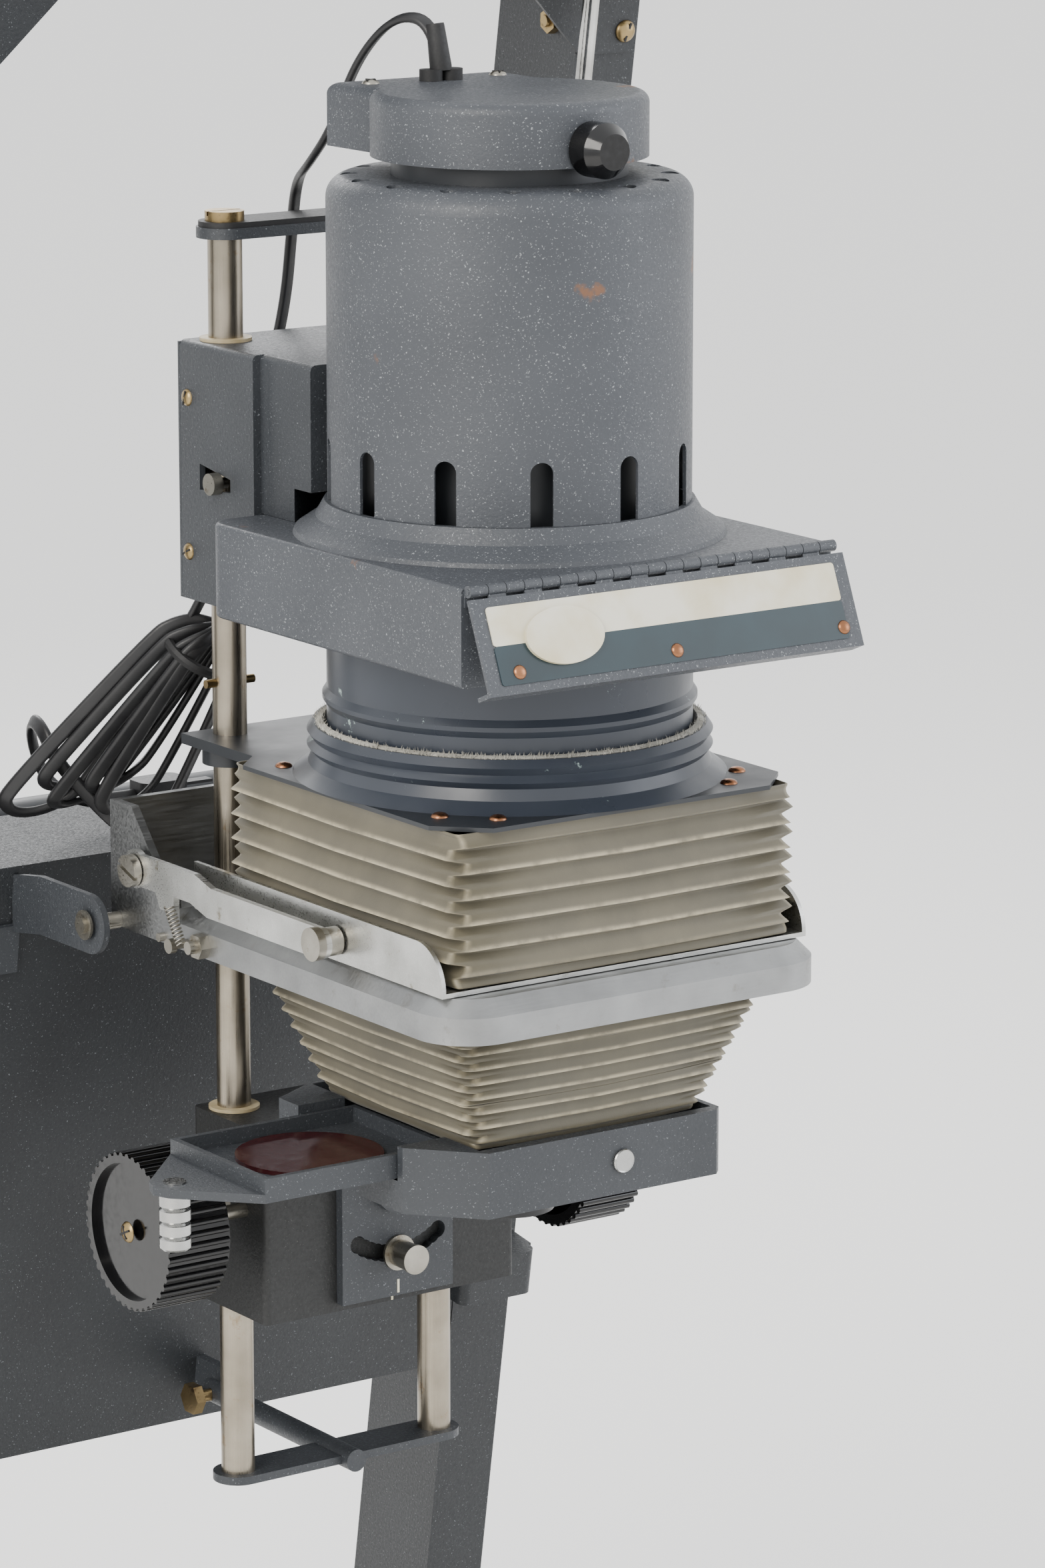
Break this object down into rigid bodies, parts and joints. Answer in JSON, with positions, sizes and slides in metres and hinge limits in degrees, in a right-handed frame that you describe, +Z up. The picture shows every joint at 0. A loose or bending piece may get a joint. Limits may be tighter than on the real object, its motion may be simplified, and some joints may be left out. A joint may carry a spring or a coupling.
{
  "type": "photo enlarger",
  "caption": "Condenser photo enlarger with a colour head on guide posts, an inclined girder stand, bellows, lens stage and baseboard.",
  "frame": {"origin": "middle of the footprint, on the surface the feet stand on", "axes": "+Z up; -Y is the operator's side; +X is the operator's right"},
  "size_m": [0.457, 0.61, 1.2],
  "materials": {
    "board_laminate": "matt grey laminate on ply",
    "rubber_black": "matt",
    "crinkle_dark": "speckled hammer enamel, dark",
    "crinkle_mid": "speckled hammer enamel",
    "crinkle_light": "speckled hammer enamel, pale flecks",
    "crinkle_black": "black crinkle",
    "enamel_dark": "satin enamel",
    "enamel_smooth": "smooth satin enamel",
    "chromed_rod": "polished",
    "cast_zinc": "as cast, deburred",
    "nylon_black": "moulded",
    "satin_nickel": "satin nickel",
    "aged_brass": "aged",
    "cast_aluminium": "cast and linished",
    "plated_steel": "zinc plated",
    "bellows_cloth": "coated cloth, matt sheen",
    "pile_felt": "frayed pile",
    "cord_rubber": "satin",
    "nylon_cream": "moulded",
    "clear_glass": "polished",
    "opal_glass": "opal",
    "black_bakelite": "polished",
    "sheet_aluminium": "brushed sheet",
    "black_anodised": "satin black anodised",
    "red_glass": "deep red",
    "turned_aluminium": "turned"
  },
  "bodies": {
    "root": {"base_board": "board_laminate", "base_feet": "rubber_black", "girders": "crinkle_dark", "foot_brackets": "crinkle_dark", "top_brace": "crinkle_dark", "elevation_rod": "chromed_rod", "rod_blocks": "cast_zinc"},
    "elevator": {"elevator_shell": "crinkle_dark", "spring_tube": "enamel_dark", "guide_shoes": "nylon_black", "chassis_brackets": "crinkle_mid", "guide_posts": "satin_nickel", "post_links": "crinkle_mid", "top_link_gasket": "rubber_black", "post_fasteners": "aged_brass", "steady_arm": "crinkle_mid", "arm_bolt": "aged_brass", "negative_stage": "cast_aluminium", "stage_fittings": "plated_steel", "lower_bellows": "bellows_cloth", "upper_bellows": "bellows_cloth", "collar_plate": "enamel_dark", "collar": "enamel_smooth", "seal_ring": "pile_felt", "drive_housing": "crinkle_dark", "cord_hank": "cord_rubber", "cord_plug": "cord_rubber"},
    "head": {"head_box": "crinkle_mid", "head_box_cover": "crinkle_mid", "head_post_bushes": "nylon_cream", "colour_housing": "crinkle_light", "head_inner_plates": "enamel_dark", "lamphouse": "crinkle_light", "sleeve": "enamel_smooth", "condenser_lens": "clear_glass", "lamp_neck": "enamel_dark", "lamp_bulb": "opal_glass", "lamp_cap": "crinkle_light", "cord_bushes": "rubber_black", "hinge_leaf_head": "crinkle_light", "cord_lead": "cord_rubber"},
    "latch": {"latch_pin": "plated_steel"},
    "cap_knob": {"cap_knob": "black_bakelite"},
    "flap": {"name_flap": "crinkle_light"},
    "lift": {"lift_levers": "sheet_aluminium", "lever_studs": "plated_steel", "pressure_plate": "sheet_aluminium"},
    "focus_carriage": {"lens_carriage": "crinkle_black", "carriage_post_bushes": "nylon_cream"},
    "focus_shaft": {"focus_shaft": "plated_steel", "focus_knobs": "black_bakelite"},
    "focus_idler": {"focus_idler": "plated_steel"},
    "lens_stage": {"lens_stage": "crinkle_mid", "enlarging_lens": "black_anodised"},
    "tilt_screw": {"tilt_screw": "plated_steel"},
    "filter_tray": {"filter_tray": "crinkle_mid", "red_filter": "red_glass", "tray_handle": "turned_aluminium"},
    "crank": {"elevation_crank": "plated_steel", "crank_grip": "black_bakelite"}
  },
  "joints": [
    {"name": "elevator_slide", "type": "slide", "parent": "root", "child": "elevator", "axis": [0, -0.1616, 0.9869], "range_m": [-0.24, 0.3]},
    {"name": "crank_spin", "type": "hinge", "parent": "elevator", "child": "crank", "pos_m": [0.142, 0.08652, 0.65963], "axis": [1, 0, 0], "range_deg": [-1800, 1500]},
    {"name": "head_slide", "type": "slide", "parent": "elevator", "child": "head", "axis": [0, 0, 1], "range_m": [0, 0.042]},
    {"name": "latch_slide", "type": "slide", "parent": "head", "child": "latch", "axis": [0, 1, 0], "range_m": [0, 0.01]},
    {"name": "cap_knob_spin", "type": "hinge", "parent": "head", "child": "cap_knob", "pos_m": [0, -0.181, 0.995], "axis": [0, -1, 0], "continuous": true},
    {"name": "flap_hinge", "type": "hinge", "parent": "head", "child": "flap", "pos_m": [0, -0.228, 0.82], "axis": [-1, 0, 0], "range_deg": [0, 100]},
    {"name": "lift_hinge", "type": "hinge", "parent": "elevator", "child": "lift", "pos_m": [0, 0.025, 0.653], "axis": [-1, 0, 0], "range_deg": [0, 5], "deforming": ["upper_bellows"]},
    {"name": "focus_slide", "type": "slide", "parent": "elevator", "child": "focus_carriage", "axis": [0, 0, 1], "range_m": [-0.07, 0.02], "deforming": ["lower_bellows"]},
    {"name": "focus_spin", "type": "hinge", "parent": "focus_carriage", "child": "focus_shaft", "pos_m": [0, -0.005, 0.492], "axis": [1, 0, 0], "range_deg": [-520, 160]},
    {"name": "idler_spin", "type": "hinge", "parent": "focus_carriage", "child": "focus_idler", "pos_m": [0, 0.01, 0.492], "axis": [1, 0, 0], "range_deg": [-180, 590]},
    {"name": "stage_tilt", "type": "hinge", "parent": "focus_carriage", "child": "lens_stage", "pos_m": [0, -0.023, 0.5], "axis": [0, 1, 0], "range_deg": [-5, 5]},
    {"name": "tilt_screw_spin", "type": "hinge", "parent": "focus_carriage", "child": "tilt_screw", "pos_m": [0, -0.023, 0.465], "axis": [0, -1, 0], "continuous": true},
    {"name": "tray_slide", "type": "slide", "parent": "lens_stage", "child": "filter_tray", "axis": [1, 0, 0], "range_m": [0, 0.095]}
  ],
  "couplings": [
    {"joint": "crank_spin", "follows": "elevator_slide", "rad_per_m": -100},
    {"joint": "focus_spin", "follows": "focus_slide", "rad_per_m": 125.79},
    {"joint": "idler_spin", "follows": "focus_slide", "rad_per_m": -143.88}
  ]
}
